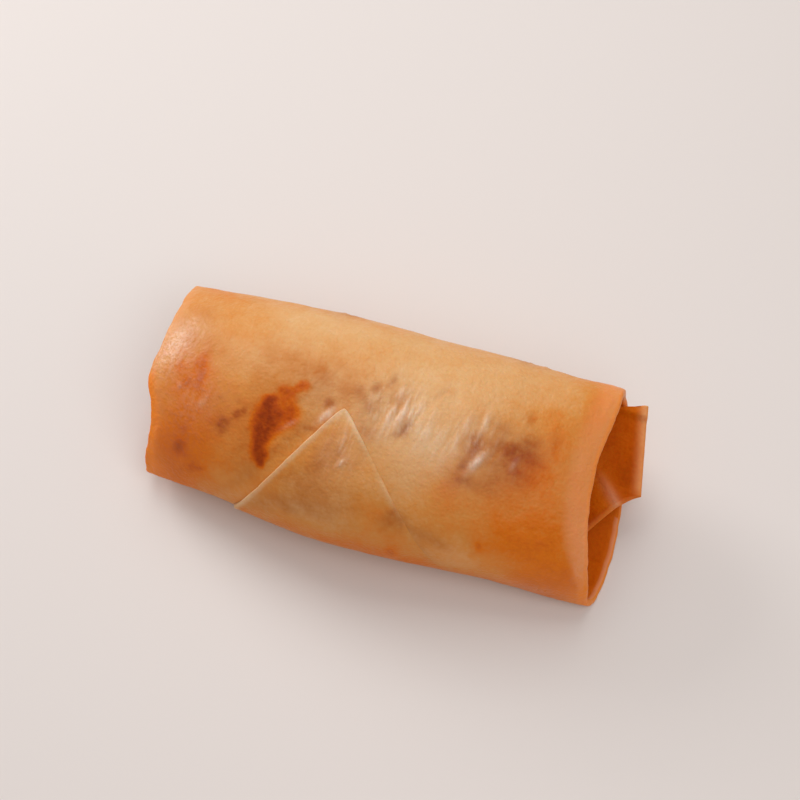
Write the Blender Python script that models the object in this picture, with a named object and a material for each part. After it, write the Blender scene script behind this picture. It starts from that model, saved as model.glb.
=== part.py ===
"""Fried spring roll: a thin wheat wrapper rolled round its filling and fried, as one closed solid.

The roll lies along X and rests on Z = 0, with the origin under the middle of its box. Each end is pinched
into a leaning lens whose two lips part as a shallow mouth. Folded layers of the wrapper stand inside both
mouths, and at the right end one of them sticks out past the lips as a tongue. The last corner of the wrapper
lies over the front as a raised triangular flap.
"""
import math

import bmesh
import bpy
from mathutils import Vector

MM = 0.001

# ---- driving dimensions, in millimetres ------------------------------------------------------------------
# The middle of the roll: half widths from its axis to the front and back creases, and heights above the
# table. The power shapes the section between a crease and the crest: 1 is elliptical, more is peaked.
AXIS_Y = 1.65
MIDDLE = {"front": 22.2, "back": 20.9, "front_z": 11.5, "back_z": 14.7,
          "top_z": 29.9, "bottom_z": -0.8, "power": 0.95, "lean": 0.0}
# The two ends: the same sizes at the lips, the x of the front and back corners, how far the crest leans, and
# how far the upper and lower lips reach out past the line between the corners (negative is drawn back).
LEFT = {"front": 18.9, "back": 20.2, "front_z": 5.2, "back_z": 13.0,
        "top_z": 21.9, "bottom_z": 2.8, "power": 1.5, "lean": -2.4,
        "front_x": -45.5, "back_x": -48.4, "upper_lip": 0.3, "lower_lip": 0.8}
RIGHT = {"front": 18.9, "back": 20.2, "front_z": 3.0, "back_z": 17.3,
         "top_z": 22.9, "bottom_z": 2.8, "power": 0.82, "lean": -1.7,
         "front_x": 44.2, "back_x": 40.6, "upper_lip": -3.2, "lower_lip": 3.8}
# The filling's belly pushes the front out a little left of the middle.
BELLY, BELLY_X, BELLY_WIDTH = 1.25, -5.7, 16.7
# The top stays high almost to the lips and then rolls over: by how much, and how late.
SHOULDER, SHOULDER_POWER = 1.6, 14
# The left upper lip juts out beside its crest and is drawn in below that.
KINKS = ((1.2, math.radians(84), 0.25), (-0.9, math.radians(55), 0.30))

# The mouths: how thick the lips are as a share of the lens, how far they round over, and the folded-in floor.
LIP_SHARE, LIP_ROUND = 0.075, 0.5
FLOOR_X, FLOOR_WIDTH, FLOOR_HEIGHT, FLOOR_SWELL = 35.0, 0.84, 0.60, 1.5

# The triangular flap. Arcs are distances round the middle of the roll, up from the front crease. Each edge
# runs down from the apex with a spread, in mm sideways for one down, and a bend back toward the middle.
APEX_X, APEX_ARC, APEX_HALF_WIDTH = -8.6, 29.4, 0.3
LEFT_SPREAD, LEFT_BEND = 0.66, 0.0018
RIGHT_SPREAD, RIGHT_BEND = 0.95, 0.0047
FLAP_END_ARC, FLAP_RISE, FLAP_SUNK = -13.0, 0.9, 0.8
FLAP_TAIL, FLAP_TAIL_SUNK = 12.0, 0.3

# Folded layers inside the mouths. Each is a strip across the mouth: its side, its y from and to, the x of its
# edge at both, the y where the edge starts to curl back into the mouth and by how much, its level above the
# line between the corners at both, how far its middle bows up, and how far it lies askew.
FOLD_THICKNESS, FOLD_ROOT_X, CURL_POWER = 1.7, 32.0, 0.75
FOLDS = (
    {"side": 1, "y": (-7.0, 20.7), "edge": (51.8, 45.7), "curl_from": 5.3, "curl": 13.3,
     "level": (-3.2, -1.1), "bow": 0.0, "askew": 0.28},
    {"side": 1, "y": (-11.5, 16.5), "edge": (39.6, 37.8), "curl_from": -8.0, "curl": 2.5,
     "level": (2.4, 2.4), "bow": 1.8, "askew": 0.0},
    {"side": 1, "y": (-9.5, 11.0), "edge": (42.2, 40.8), "curl_from": -6.5, "curl": 2.5,
     "level": (-3.4, -4.0), "bow": -1.0, "askew": 0.0},
    {"side": -1, "y": (-12.5, 16.5), "edge": (45.8, 45.6), "curl_from": -9.0, "curl": 3.0,
     "level": (-1.4, -1.8), "bow": -0.8, "askew": 0.0},
    {"side": -1, "y": (-9.0, 13.0), "edge": (43.2, 43.6), "curl_from": -6.5, "curl": 2.5,
     "level": (2.0, 2.2), "bow": 1.6, "askew": 0.0},
)

# Mesh density: stations along the roll and how much they crowd toward the lips, points round it, rings down
# each mouth, and the steps of the flap and the folds.
STATIONS, CROWDING, AROUND, MOUTH_RINGS = 30, 0.55, 56, 3
FLAP_ROWS, FLAP_COLUMNS = 22, 8
CURL_STATIONS, EDGE_STATIONS, FOLD_ARC_STEPS = 5, 6, 4

CRUST_COLOUR, CRUST_ROUGHNESS = (0.62, 0.30, 0.10, 1.0), 0.45
SHARP_ANGLE = math.radians(40)


# ---- the wrapper's outer surface -------------------------------------------------------------------------
def size_at(name, s):
    """A size of the section at s, which runs from -1 at the left lips through 0 to 1 at the right lips."""
    end = RIGHT if s > 0 else LEFT
    return MIDDLE[name] + (end[name] - MIDDLE[name]) * s * s


def lip_x(side, angle):
    """The x of the lips at one end. The angle runs from the front crease over the crest to the back crease."""
    end = RIGHT if side > 0 else LEFT
    toward_back = (1 - math.cos(angle)) / 2
    x = end["front_x"] + (end["back_x"] - end["front_x"]) * toward_back
    rise = math.sin(angle)
    if rise < 0:
        return x - side * end["lower_lip"] * rise
    x += side * end["upper_lip"] * rise ** 2
    if side < 0:
        x -= sum(jut * math.exp(-((angle - at) / width) ** 2) for jut, at, width in KINKS)
    return x


def wrapper(s, angle):
    """A point of the wrapper's outer surface."""
    side = 1 if s > 0 else -1
    x = abs(s) * lip_x(side, angle)
    toward_front, rise = math.cos(angle), math.sin(angle)
    front_z, back_z = size_at("front_z", s), size_at("back_z", s)
    crease_z = front_z + (back_z - front_z) * (1 - toward_front) / 2
    middle_z = (front_z + back_z) / 2
    swing = abs(rise) ** size_at("power", s)
    if toward_front > 0:
        belly = BELLY * math.exp(-((x - BELLY_X) / BELLY_WIDTH) ** 2)
        y = AXIS_Y - (size_at("front", s) + belly) * toward_front
    else:
        y = AXIS_Y - size_at("back", s) * toward_front
    if rise >= 0:
        top_z = size_at("top_z", s) + SHOULDER * (s * s - abs(s) ** SHOULDER_POWER)
        y += size_at("lean", s) * rise ** 2
        z = crease_z + (top_z - middle_z) * swing
    else:
        z = crease_z - (middle_z - size_at("bottom_z", s)) * swing
    return Vector((x, y, max(z, 0.0)))


def crease_line_z(side, y):
    """Height of the straight line between an end's two corners."""
    end = RIGHT if side > 0 else LEFT
    share = (y - (AXIS_Y - end["front"])) / (end["front"] + end["back"])
    return end["front_z"] + (end["back_z"] - end["front_z"]) * share


def drawn_in(side, point, width, height):
    """A lip point moved toward the line between the corners, to these shares of the lens."""
    y = AXIS_Y + (point.y - AXIS_Y) * width
    z = crease_line_z(side, y) + (point.z - crease_line_z(side, point.y)) * height
    return y, z


def mouth(side, angle, depth):
    """A point inside a mouth: depth 0 is the inner edge of the lips and 1 the rim of the folded-in floor."""
    lip = wrapper(side, angle)
    at_lip = 1 - LIP_SHARE
    width = at_lip + (FLOOR_WIDTH - at_lip) * depth
    height = at_lip + (FLOOR_HEIGHT - at_lip) * depth
    y, z = drawn_in(side, lip, width, height)
    return Vector((lip.x + (side * FLOOR_X - lip.x) * depth, y, z))


# ---- mesh making -----------------------------------------------------------------------------------------
def loft(name, rings, close_ends_at=None):
    """A closed mesh through rings of equal length, capped by fans to two points or by flat ends."""
    bm = bmesh.new()
    verts = [[bm.verts.new(point * MM) for point in ring] for ring in rings]
    count = len(rings[0])
    for first, second in zip(verts, verts[1:]):
        for i in range(count):
            j = (i + 1) % count
            bm.faces.new((first[i], first[j], second[j], second[i]))
    if close_ends_at is None:
        bm.faces.new(verts[0])
        bm.faces.new(verts[-1])
    else:
        for ring, middle in zip((verts[0], verts[-1]), close_ends_at):
            centre = bm.verts.new(middle * MM)
            for i in range(count):
                bm.faces.new((ring[i], ring[(i + 1) % count], centre))
    bmesh.ops.triangulate(bm, faces=bm.faces)
    bmesh.ops.recalc_face_normals(bm, faces=bm.faces)
    mesh = bpy.data.meshes.new(name)
    bm.to_mesh(mesh)
    bm.free()
    return bpy.data.objects.new(name, mesh)


def make_body():
    """The rolled wrapper with its two lipped mouths."""
    angles = [2 * math.pi * i / AROUND for i in range(AROUND)]
    even = [2 * i / (STATIONS - 1) - 1 for i in range(STATIONS)]
    stations = [s + CROWDING * (math.sin(math.pi * s / 2) - s) for s in even]

    def lip_ring(side):
        ring = []
        for angle in angles:
            lip = wrapper(side, angle)
            y, z = drawn_in(side, lip, 1 - LIP_SHARE / 2, 1 - LIP_SHARE / 2)
            ring.append(Vector((lip.x + side * LIP_ROUND, y, z)))
        return ring

    def mouth_rings(side):
        depths = [i / MOUTH_RINGS for i in range(MOUTH_RINGS + 1)]
        return [lip_ring(side)] + [[mouth(side, angle, depth) for angle in angles] for depth in depths]

    left, right = mouth_rings(-1), mouth_rings(1)
    outside = [[wrapper(s, angle) for angle in angles] for s in stations]
    middles = []
    for side in (-1, 1):
        x = side * (FLOOR_X + FLOOR_SWELL)
        middles.append(Vector((x, AXIS_Y, crease_line_z(side, AXIS_Y))))
    return loft("spring_roll", left[::-1] + outside + right, middles)


def angle_at_arc(arc, steps=720):
    """The angle whose distance round the middle of the roll, up from the front crease, is the given arc."""
    step = math.copysign(2 * math.pi / steps, arc)
    angle, run = 0.0, 0.0
    before = wrapper(0, 0)
    while run < abs(arc):
        angle += step
        after = wrapper(0, angle)
        run += (after - before).length
        before = after
    return angle


def outward(s, angle, step=0.002):
    """Unit normal of the wrapper."""
    along = wrapper(s + step, angle) - wrapper(s - step, angle)
    around = wrapper(s, angle + step) - wrapper(s, angle - step)
    return around.cross(along).normalized()


def make_flap():
    """The wrapper's last corner: a thin triangle laid on the front, thinning out under the roll."""
    rings = []
    for row in range(FLAP_ROWS + 1):
        down = row / FLAP_ROWS
        arc = APEX_ARC + (FLAP_END_ARC - APEX_ARC) * down
        angle = angle_at_arc(arc)
        run = APEX_ARC - arc
        left = APEX_X - APEX_HALF_WIDTH - LEFT_SPREAD * run + LEFT_BEND * run ** 2
        right = APEX_X + APEX_HALF_WIDTH + RIGHT_SPREAD * run - RIGHT_BEND * run ** 2
        tail = min(1.0, (arc - FLAP_END_ARC) / FLAP_TAIL)
        rise = FLAP_RISE * tail - FLAP_TAIL_SUNK * (1.0 - tail)
        outer, inner = [], []
        for column in range(FLAP_COLUMNS + 1):
            x = left + (right - left) * column / FLAP_COLUMNS
            s = x / abs(lip_x(math.copysign(1, x), angle))
            base, normal = wrapper(s, angle), outward(s, angle)
            outer.append(base + normal * rise)
            inner.append(base - normal * FLAP_SUNK)
        rings.append(outer + inner[::-1])
    return loft("flap", rings)


def make_fold(number, fold):
    """One folded layer of wrapper in a mouth: a flat strip with a round edge toward the opening."""
    side, corner = fold["side"], fold["curl_from"]
    (near, far), (near_x, far_x), (near_level, far_level) = fold["y"], fold["edge"], fold["level"]
    half = FOLD_THICKNESS / 2
    stations = [near + (corner - near) * i / CURL_STATIONS for i in range(CURL_STATIONS)]
    stations += [corner + (far - corner) * i / EDGE_STATIONS for i in range(EDGE_STATIONS + 1)]
    rings = []
    for y in stations:
        share = (y - near) / (far - near)
        edge = near_x + (far_x - near_x) * share
        if y < corner:
            edge -= fold["curl"] * ((corner - y) / (corner - near)) ** CURL_POWER
        level = near_level + (far_level - near_level) * share + fold["bow"] * 4 * share * (1 - share)
        outline = [(FOLD_ROOT_X, half)]
        for k in range(FOLD_ARC_STEPS + 1):
            turn = math.pi * (0.5 - k / FOLD_ARC_STEPS)
            outline.append((edge - half + half * math.cos(turn), half * math.sin(turn)))
        outline.append((FOLD_ROOT_X, -half))
        ring = []
        for x, height in outline:
            slid = y + fold["askew"] * (x - edge)
            ring.append(Vector((side * x, slid, crease_line_z(side, slid) + level + height)))
        rings.append(ring)
    return loft("fold_%d" % number, rings)


def join(body, pieces, collection):
    """Unite the pieces with the body by Boolean modifiers, so that the roll is one solid."""
    for piece in pieces:
        collection.objects.link(piece)
        piece.hide_render = True
        piece.display_type = "WIRE"
        union = body.modifiers.new("join_" + piece.name, "BOOLEAN")
        union.operation = "UNION"
        union.solver = "EXACT"
        union.object = piece


# ---- the object ------------------------------------------------------------------------------------------
for old in list(bpy.data.objects):
    bpy.data.objects.remove(old, do_unlink=True)

parts = bpy.data.collections.new("fried_spring_roll")
cutters = bpy.data.collections.new("cutters")
for collection in (parts, cutters):
    bpy.context.scene.collection.children.link(collection)

roll = make_body()
parts.objects.link(roll)
folds = [make_fold(number, fold) for number, fold in enumerate(FOLDS)]
join(roll, [make_flap()] + folds, cutters)

crust = bpy.data.materials.new("fried_wheat_crust")
crust.use_nodes = True
shader = crust.node_tree.nodes["Principled BSDF"]
shader.inputs["Base Color"].default_value = CRUST_COLOUR
shader.inputs["Roughness"].default_value = CRUST_ROUGHNESS
shader.inputs["Metallic"].default_value = 0.0
roll.data.materials.append(crust)
roll.data.shade_smooth()
roll.data.set_sharp_from_angle(angle=SHARP_ANGLE)
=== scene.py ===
import math

import bpy
import numpy as np
from mathutils import Matrix, Vector, noise


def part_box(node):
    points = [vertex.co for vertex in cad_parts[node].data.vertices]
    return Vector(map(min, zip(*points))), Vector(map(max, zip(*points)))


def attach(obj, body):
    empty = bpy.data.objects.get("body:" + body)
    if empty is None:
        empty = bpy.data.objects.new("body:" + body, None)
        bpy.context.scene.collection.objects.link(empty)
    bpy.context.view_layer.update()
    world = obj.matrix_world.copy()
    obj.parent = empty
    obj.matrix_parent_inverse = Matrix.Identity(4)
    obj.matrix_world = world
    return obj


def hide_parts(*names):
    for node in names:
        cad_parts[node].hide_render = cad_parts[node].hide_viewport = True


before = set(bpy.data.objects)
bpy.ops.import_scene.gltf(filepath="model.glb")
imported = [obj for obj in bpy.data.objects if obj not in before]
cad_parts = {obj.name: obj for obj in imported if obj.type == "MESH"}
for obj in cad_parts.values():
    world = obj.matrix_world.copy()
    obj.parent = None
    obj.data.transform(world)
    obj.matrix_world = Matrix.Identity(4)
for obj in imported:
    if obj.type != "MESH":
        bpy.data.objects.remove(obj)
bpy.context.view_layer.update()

# ---- THE TABLE, THE LIGHT AND THE CAMERA ---------------------------------------------------------------
# The roll lies on a plain pale table top, lit by a large window behind it on the left and by softer lights
# from the ceiling and the room. The camera looks down on it steeply from the front, a little from the
# right, as one looks at food.

lowest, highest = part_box("spring_roll")
DRAWN_LENGTH = 98.2
MM = (highest.x - lowest.x) / DRAWN_LENGTH     # metres for one millimetre of the roll as it is drawn below

ELEVATION, AZIMUTH = math.radians(66.1), math.radians(17.2)
CAMERA_PLACE = Vector((38.2, -118.6, 315.7))
LENS, SENSOR, NEAREST = 75.4, 36.0, 0.01
LIGHTS_AIM = Vector((0, 0, 12))
TABLE_SIZE, TABLE_COLOUR, TABLE_ROUGHNESS = 4.0, "#E6E1E0", 0.5
ROOM_COLOUR, ROOM_STRENGTH = "#F6F0EC", 0.34


def linear(hex_colour):
    """An sRGB hex colour as linear RGBA."""
    channels = [int(hex_colour[i:i + 2], 16) / 255 for i in (1, 3, 5)]
    return [c / 12.92 if c <= 0.04045 else ((c + 0.055) / 1.055) ** 2.4 for c in channels] + [1.0]


def material(name):
    """A new node material: the material, its tree and its Principled shader."""
    made = bpy.data.materials.new(name)
    made.use_nodes = True
    return made, made.node_tree, made.node_tree.nodes["Principled BSDF"]


camera = bpy.data.objects.new("camera", bpy.data.cameras.new("camera"))
camera.data.lens, camera.data.sensor_width, camera.data.clip_start = LENS, SENSOR, NEAREST
backward = Vector((math.sin(AZIMUTH) * math.cos(ELEVATION), -math.cos(AZIMUTH) * math.cos(ELEVATION),
                   math.sin(ELEVATION)))
rightward = Vector((math.cos(AZIMUTH), math.sin(AZIMUTH), 0.0))
turned = Matrix((rightward, backward.cross(rightward), backward)).transposed().to_4x4()
camera.matrix_world = Matrix.Translation(CAMERA_PLACE * MM) @ turned
bpy.context.scene.collection.objects.link(camera)
bpy.context.scene.camera = camera
bpy.context.scene.view_settings.view_transform = "Standard"

bpy.ops.mesh.primitive_plane_add(size=TABLE_SIZE)
table_top = bpy.context.object
table_top.name = "table_top"
# White laminate, pressed with a matt face: even, and without a reflection of its own.
laminate, tree, shader = material("matt_white_laminate")
shader.inputs["Base Color"].default_value = linear(TABLE_COLOUR)
shader.inputs["Roughness"].default_value = TABLE_ROUGHNESS
table_top.data.materials.append(laminate)


def softbox(name, place, size, watts, colour):
    """A square area light at a place in millimetres, turned to the roll."""
    lamp = bpy.data.lights.new(name, "AREA")
    lamp.size = size * MM
    lamp.energy = watts
    lamp.color = linear(colour)[:3]
    made = bpy.data.objects.new(name, lamp)
    made.location = Vector(place) * MM
    toward = LIGHTS_AIM * MM - made.location
    made.rotation_euler = toward.to_track_quat("-Z", "Y").to_euler()
    bpy.context.scene.collection.objects.link(made)


softbox("window_light", place=(-560, 310, 270), size=300, watts=2.0, colour="#FFFBF8")
softbox("ceiling_light", place=(-160, 380, 620), size=480, watts=1.8, colour="#FFFAF4")
softbox("room_light", place=(230, -190, 600), size=560, watts=1.5, colour="#FFF8F2")
room = bpy.data.worlds.new("pale_room")
room.use_nodes = True
room.node_tree.nodes["Background"].inputs["Color"].default_value = linear(ROOM_COLOUR)
room.node_tree.nodes["Background"].inputs["Strength"].default_value = ROOM_STRENGTH
bpy.context.scene.world = room

# ---- THE ROLLED WRAPPER --------------------------------------------------------------------------------
# One sheet of wheat dough, under a millimetre thick, rolled round its filling and fried till it set. The
# sides were folded in before rolling, so each end is pinched to a leaning lens with an open-lipped mouth.

# Sections of the roll at its middle and its ends, in millimetres: half widths from the axis to the front
# and back creases, heights above the table, the power that shapes a section from a crease to the crest (1
# is elliptical), and how far the crest leans, to the front where it is below 0. An end has the x of its two
# corners too, how far its lips jut out between them, and kinks as (jut, degrees, width in radians).
AXIS_Y = 1.65
MIDDLE = {"front": 22.2, "back": 20.9, "front_z": 11.5, "back_z": 14.7,
          "top_z": 29.9, "bottom_z": -0.8, "power": 0.95, "lean": 0.0}
LEFT = {"front": 18.9, "back": 20.2, "front_z": 5.2, "back_z": 13.0,
        "top_z": 21.9, "bottom_z": 2.8, "power": 1.5, "lean": -2.4,
        "front_x": -46.0, "back_x": -48.4, "upper_lip": 0.3, "lower_lip": 0.8,
        "kinks": ((1.2, 84, 0.25), (-0.9, 55, 0.30))}
RIGHT = {"front": 18.9, "back": 20.2, "front_z": 3.0, "back_z": 17.3,
         "top_z": 22.9, "bottom_z": 2.8, "power": 0.82, "lean": -1.7,
         "front_x": 44.2, "back_x": 40.6, "upper_lip": -3.2, "lower_lip": 3.8,
         "kinks": ((0.6, 128, 0.35),)}
BELLY, BELLY_X, BELLY_WIDTH = 1.25, -5.7, 16.7    # the front swells a little left of the middle
SHOULDER, SHOULDER_POWER = 1.6, 14                # the crest stays high till it is close to the lips
LIP_SHARE, LIP_ROUND = 0.075, 0.5                 # the lips' share of the lens, and their round edge
LIP_FRAY, FRAY_SIZE, FRAY_POWER = 0.45, 3.5, 10   # how ragged the lips are, close to their edge only
FLOOR_X, FLOOR_SWELL = 35.0, 1.5                  # the folded-in floor of a mouth, which bulges outward
FLOOR_WIDTH, FLOOR_HEIGHT = 0.84, 0.60            # its size as shares of the lens
MOUTH_WAVE, MOUTH_WAVE_SIZE = 0.35, 6.0           # how far the walls of a mouth wave
STATIONS, AROUND, CROWDING = 290, 288, 0.3        # points of the mesh, which crowd together by the lips
LIP_RINGS, MOUTH_RINGS, FLOOR_RINGS = 6, 14, 8


def fading(distance, width):
    """1 at no distance, falling off smoothly on both sides over the width."""
    return np.exp(-(distance / width) ** 2)


def size_at(name, s):
    """A size of the section at s: -1 is the left lips, 0 the middle and 1 the right lips."""
    return MIDDLE[name] + (np.where(s > 0, RIGHT[name], LEFT[name]) - MIDDLE[name]) * s * s


def lip_x(side, angle):
    """The x of one end's lips. The angle runs from the front crease over the crest to the back crease."""
    end = RIGHT if side > 0 else LEFT
    x = end["front_x"] + (end["back_x"] - end["front_x"]) * (1 - np.cos(angle)) / 2
    rise = np.sin(angle)
    x = x + side * np.where(rise < 0, -end["lower_lip"] * rise, end["upper_lip"] * rise ** 2)
    return x + side * sum(jut * fading(angle - math.radians(at), width) for jut, at, width in end["kinks"])


def wrapper(s, angle):
    """Points of the wrapper's outer surface, before its lumps and creases."""
    s, angle = np.broadcast_arrays(np.asarray(s, float), np.asarray(angle, float))
    x = np.abs(s) * np.where(s > 0, lip_x(1, angle), lip_x(-1, angle))
    toward_front, rise = np.cos(angle), np.sin(angle)
    front_z, back_z = size_at("front_z", s), size_at("back_z", s)
    crease_z = front_z + (back_z - front_z) * (1 - toward_front) / 2
    middle_z = (front_z + back_z) / 2
    swing = np.abs(rise) ** size_at("power", s)
    front = size_at("front", s) + BELLY * fading(x - BELLY_X, BELLY_WIDTH)
    y = AXIS_Y - np.where(toward_front > 0, front, size_at("back", s)) * toward_front
    y = y + np.where(rise > 0, size_at("lean", s) * rise ** 2, 0)
    top_z = size_at("top_z", s) + SHOULDER * (s * s - np.abs(s) ** SHOULDER_POWER)
    above = crease_z + (top_z - middle_z) * swing
    below = crease_z - (middle_z - size_at("bottom_z", s)) * swing
    return np.stack([x, y, np.maximum(np.where(rise > 0, above, below), 0)], -1)


# Distances round the middle of the roll, in millimetres up from the front crease, so that what lies on the
# wrapper can be placed by x and by how far round it is.
SEAM = -math.pi / 2                       # the sections start and end under the roll
ARC_STEPS = 1440
angle_table = np.linspace(SEAM, SEAM + 2 * math.pi, ARC_STEPS + 1)
arc_table = np.cumsum(np.linalg.norm(np.diff(wrapper(0, angle_table), axis=0), axis=1))
arc_table = np.concatenate([[0], arc_table])
arc_table -= np.interp(0, angle_table, arc_table)


def arc_of(angle):
    """How far round the roll an angle is, in millimetres up from the front crease."""
    return np.interp(angle, angle_table, arc_table)


def angle_of(arc):
    """The angle at a distance round the roll."""
    return np.interp(arc, arc_table, angle_table)


def field(points, size, octaves=1, offset=0.0, stretch=(1, 1, 1)):
    """Smooth noise at millimetre points, about -1 to 1, for lumps of the given size."""
    flat = points.reshape(-1, 3) * np.array(stretch) / size + offset
    if octaves == 1:
        values = [noise.noise(p) for p in flat]
    else:
        values = [noise.fractal(p, 1.0, 2.0, octaves) for p in flat]
    return np.array(values).reshape(points.shape[:-1])


def sheet_field(x, arc, size, octaves=1, offset=0.0):
    """The same noise on the wrapper as it lies unrolled."""
    return field(np.stack([x, arc, 0 * x], -1), size, octaves, offset)


def smooth(value, start, end):
    """0 before start, 1 after end, easing between."""
    t = np.clip((value - start) / (end - start), 0, 1)
    return t * t * (3 - 2 * t)


def patch(x, arc, at, size, slant=0.0):
    """A soft oval on the wrapper: 1 at its middle, and fading over its half length and half width."""
    turn = math.radians(slant)
    along = (x - at[0]) * math.cos(turn) + (arc - at[1]) * math.sin(turn)
    across = (arc - at[1]) * math.cos(turn) - (x - at[0]) * math.sin(turn)
    return np.exp(-(along / size[0]) ** 2 - (across / size[1]) ** 2)


def patches(x, arc, spots):
    """The sum of soft ovals, each of which has a place, size, slant and strength."""
    return sum(much * patch(x, arc, at, size, slant) for at, size, slant, much in spots)


# Creases of the wrapper, as (x, arc), (half length, half width), slant in degrees from the x axis, height.
# They lie in groups: beside the flap's tip, over the soaked patch on the right, on the flap itself, on the
# back, and small ones at the left end.
CREASES = (
    ((1.8, 30.2), (2.3, 0.55), 76, 0.46), ((4.7, 32.8), (1.4, 0.42), 84, 0.32),
    ((-0.3, 29.0), (2.4, 0.42), 80, 0.34), ((3.3, 31.0), (1.5, 0.40), 78, 0.22),
    ((0.9, 34.4), (1.6, 0.50), 84, 0.14), ((6.3, 27.0), (2.8, 0.70), 80, 0.10),
    ((7.7, 29.6), (3.0, 0.70), 82, 0.10), ((9.7, 26.6), (3.0, 0.80), 84, 0.08),
    ((11.5, 24.6), (2.6, 0.80), 82, 0.08), ((3.3, 28.2), (2.2, 0.65), 58, -0.36),
    ((0.8, 30.0), (2.4, 0.40), 77, -0.20), ((-2.0, 28.4), (2.4, 0.5), 78, -0.15),
    ((-4.4, 34.0), (1.6, 0.60), 78, -0.15), ((-1.8, 36.6), (1.6, 0.60), 76, -0.12),
    ((17.2, 34.4), (1.8, 0.50), 90, 0.28), ((14.0, 32.8), (1.3, 0.45), 74, 0.22),
    ((17.7, 26.3), (2.2, 0.68), 66, 0.58), ((13.0, 28.2), (3.0, 0.60), 88, 0.16),
    ((24.4, 28.4), (1.6, 0.50), 78, 0.12), ((20.0, 28.4), (2.4, 0.60), 70, -0.26),
    ((21.6, 31.8), (1.8, 0.60), 72, -0.20), ((15.2, 29.6), (2.4, 0.60), 86, -0.16),
    ((15.6, 24.2), (1.8, 0.6), 56, -0.16), ((-11.6, 26.9), (1.9, 0.60), 54, 0.46),
    ((-18.0, 23.4), (1.8, 0.35), 45, 0.13), ((-6.2, 19.2), (1.0, 0.36), 68, 0.30),
    ((-7.1, 23.8), (1.8, 0.36), 88, 0.14), ((-7.8, 18.2), (1.4, 0.5), 60, -0.12),
    ((-16.4, 57.0), (2.2, 0.55), 84, 0.22), ((21.4, 58.6), (2.0, 0.55), 98, 0.24),
    ((24.6, 56.0), (1.4, 0.5), 80, 0.16), ((-36.4, 24.0), (0.9, 0.6), 68, 0.16),
    ((-41.5, 27.3), (0.8, 0.4), 86, 0.14),
)
# Where the dough shrank into fine close wrinkles, as (x, arc), (half length, half width), slant, strength.
WRINKLED = (
    ((1.2, 31.0), (5.5, 5.5), 0, 1.00), ((10.0, 28.5), (5.0, 5.0), 0, 0.40),
    ((16.5, 31.5), (4.0, 5.0), 0, 0.50), ((-6.8, 21.0), (3.0, 4.5), 0, 0.55),
    ((-11.0, 27.6), (1.6, 2.0), 0, 0.60), ((-36.5, 25.0), (3.0, 3.5), 0, 0.40),
    ((-42.0, 31.0), (5.0, 6.0), 0, 0.10), ((-17.0, 57.0), (3.5, 5.0), 0, 0.30),
    ((22.0, 58.0), (3.0, 4.5), 0, 0.35), ((24.0, 27.0), (3.5, 4.0), 0, 0.10),
)
# The wrinkles' height, spacing and length, and how far they lean to either side of this arc.
WRINKLE, WRINKLE_SPACING, WRINKLE_LENGTH = 0.20, 0.62, 3.4
WRINKLE_LEAN, LEAN_ARC = 0.2, 30
# The edge of the layer beneath shows through as a slanting step: from and to, as (x, arc), its height, how
# far behind it the wrapper comes down again, and how long the step takes to run out at its upper end.
STEP_FROM, STEP_TO, STEP_HEIGHT, STEP_FALL, STEP_END = (3.6, 27.6), (11.0, 41.8), 0.22, 7.0, 6
# The rest of its relief, as heights and sizes: lumps of filling, small ones, the dough's grain, and the
# blisters of its rough places, which are both ends and a patch at the left.
LUMP, LUMP_SIZE = 0.30, 15.0
SMALL_LUMP, SMALL_LUMP_SIZE = 0.15, 7.0
GRAIN, GRAIN_SIZE, GRAIN_STRETCH = 0.05, 2.2, (1.0, 0.7, 0.7)
BLISTER, BLISTER_SIZE = 0.06, 1.15
ROUGH_FROM, ROUGH_TO = 30, 44
ROUGH_AT, ROUGH_SIZE = (-40.5, 31.0), (5.0, 8.0)
SUNK = 0.14                               # set back by this, so that the relief keeps to the solid's size


def streaks(x, arc):
    """Fine wrinkles up the wrapper, leaning a little right: 1 along their crests, below 0 between them."""
    wrinkled = patches(x, arc, WRINKLED)
    across = (x - WRINKLE_LEAN * (arc - LEAN_ARC)) / WRINKLE_SPACING
    ripple = sheet_field(across, arc / WRINKLE_LENGTH, 1.0, 3, offset=3.0)
    return np.minimum(wrinkled, 1) * (smooth(ripple, -0.05, 0.50) - 0.3 * smooth(-ripple, 0.0, 0.35))


def step_height(x, arc):
    """The height of the slanting step, which rises at its edge and comes down behind it and at its ends."""
    (x0, arc0), (x1, arc1) = STEP_FROM, STEP_TO
    length = math.hypot(x1 - x0, arc1 - arc0)
    down = ((x - x0) * (x1 - x0) + (arc - arc0) * (arc1 - arc0)) / length
    beside = ((x - x0) * (arc1 - arc0) - (arc - arc0) * (x1 - x0)) / length
    raised = smooth(beside, -0.4, 0.3) * np.exp(-np.maximum(beside, 0) / STEP_FALL)
    return STEP_HEIGHT * raised * smooth(down, -1.5, 1.0) * (1 - smooth(down, length - STEP_END, length))


def relief(points, angle):
    """How far the wrapper stands out over its drawn form: lumps of filling, creases and blisters."""
    x, arc = points[..., 0], arc_of(angle)
    lumps = LUMP * field(points, LUMP_SIZE) + SMALL_LUMP * field(points, SMALL_LUMP_SIZE, offset=31.0)
    grain = GRAIN * field(points, GRAIN_SIZE, 3, offset=7.0, stretch=GRAIN_STRETCH)
    folded = patches(x, arc, CREASES) + WRINKLE * streaks(x, arc) + step_height(x, arc)
    rough = smooth(np.abs(x), ROUGH_FROM, ROUGH_TO) + patch(x, arc, ROUGH_AT, ROUGH_SIZE)
    blisters = BLISTER * rough * smooth(field(points, BLISTER_SIZE, offset=13.0), 0.15, 0.6)
    return lumps + grain + folded + blisters - SUNK


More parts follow.
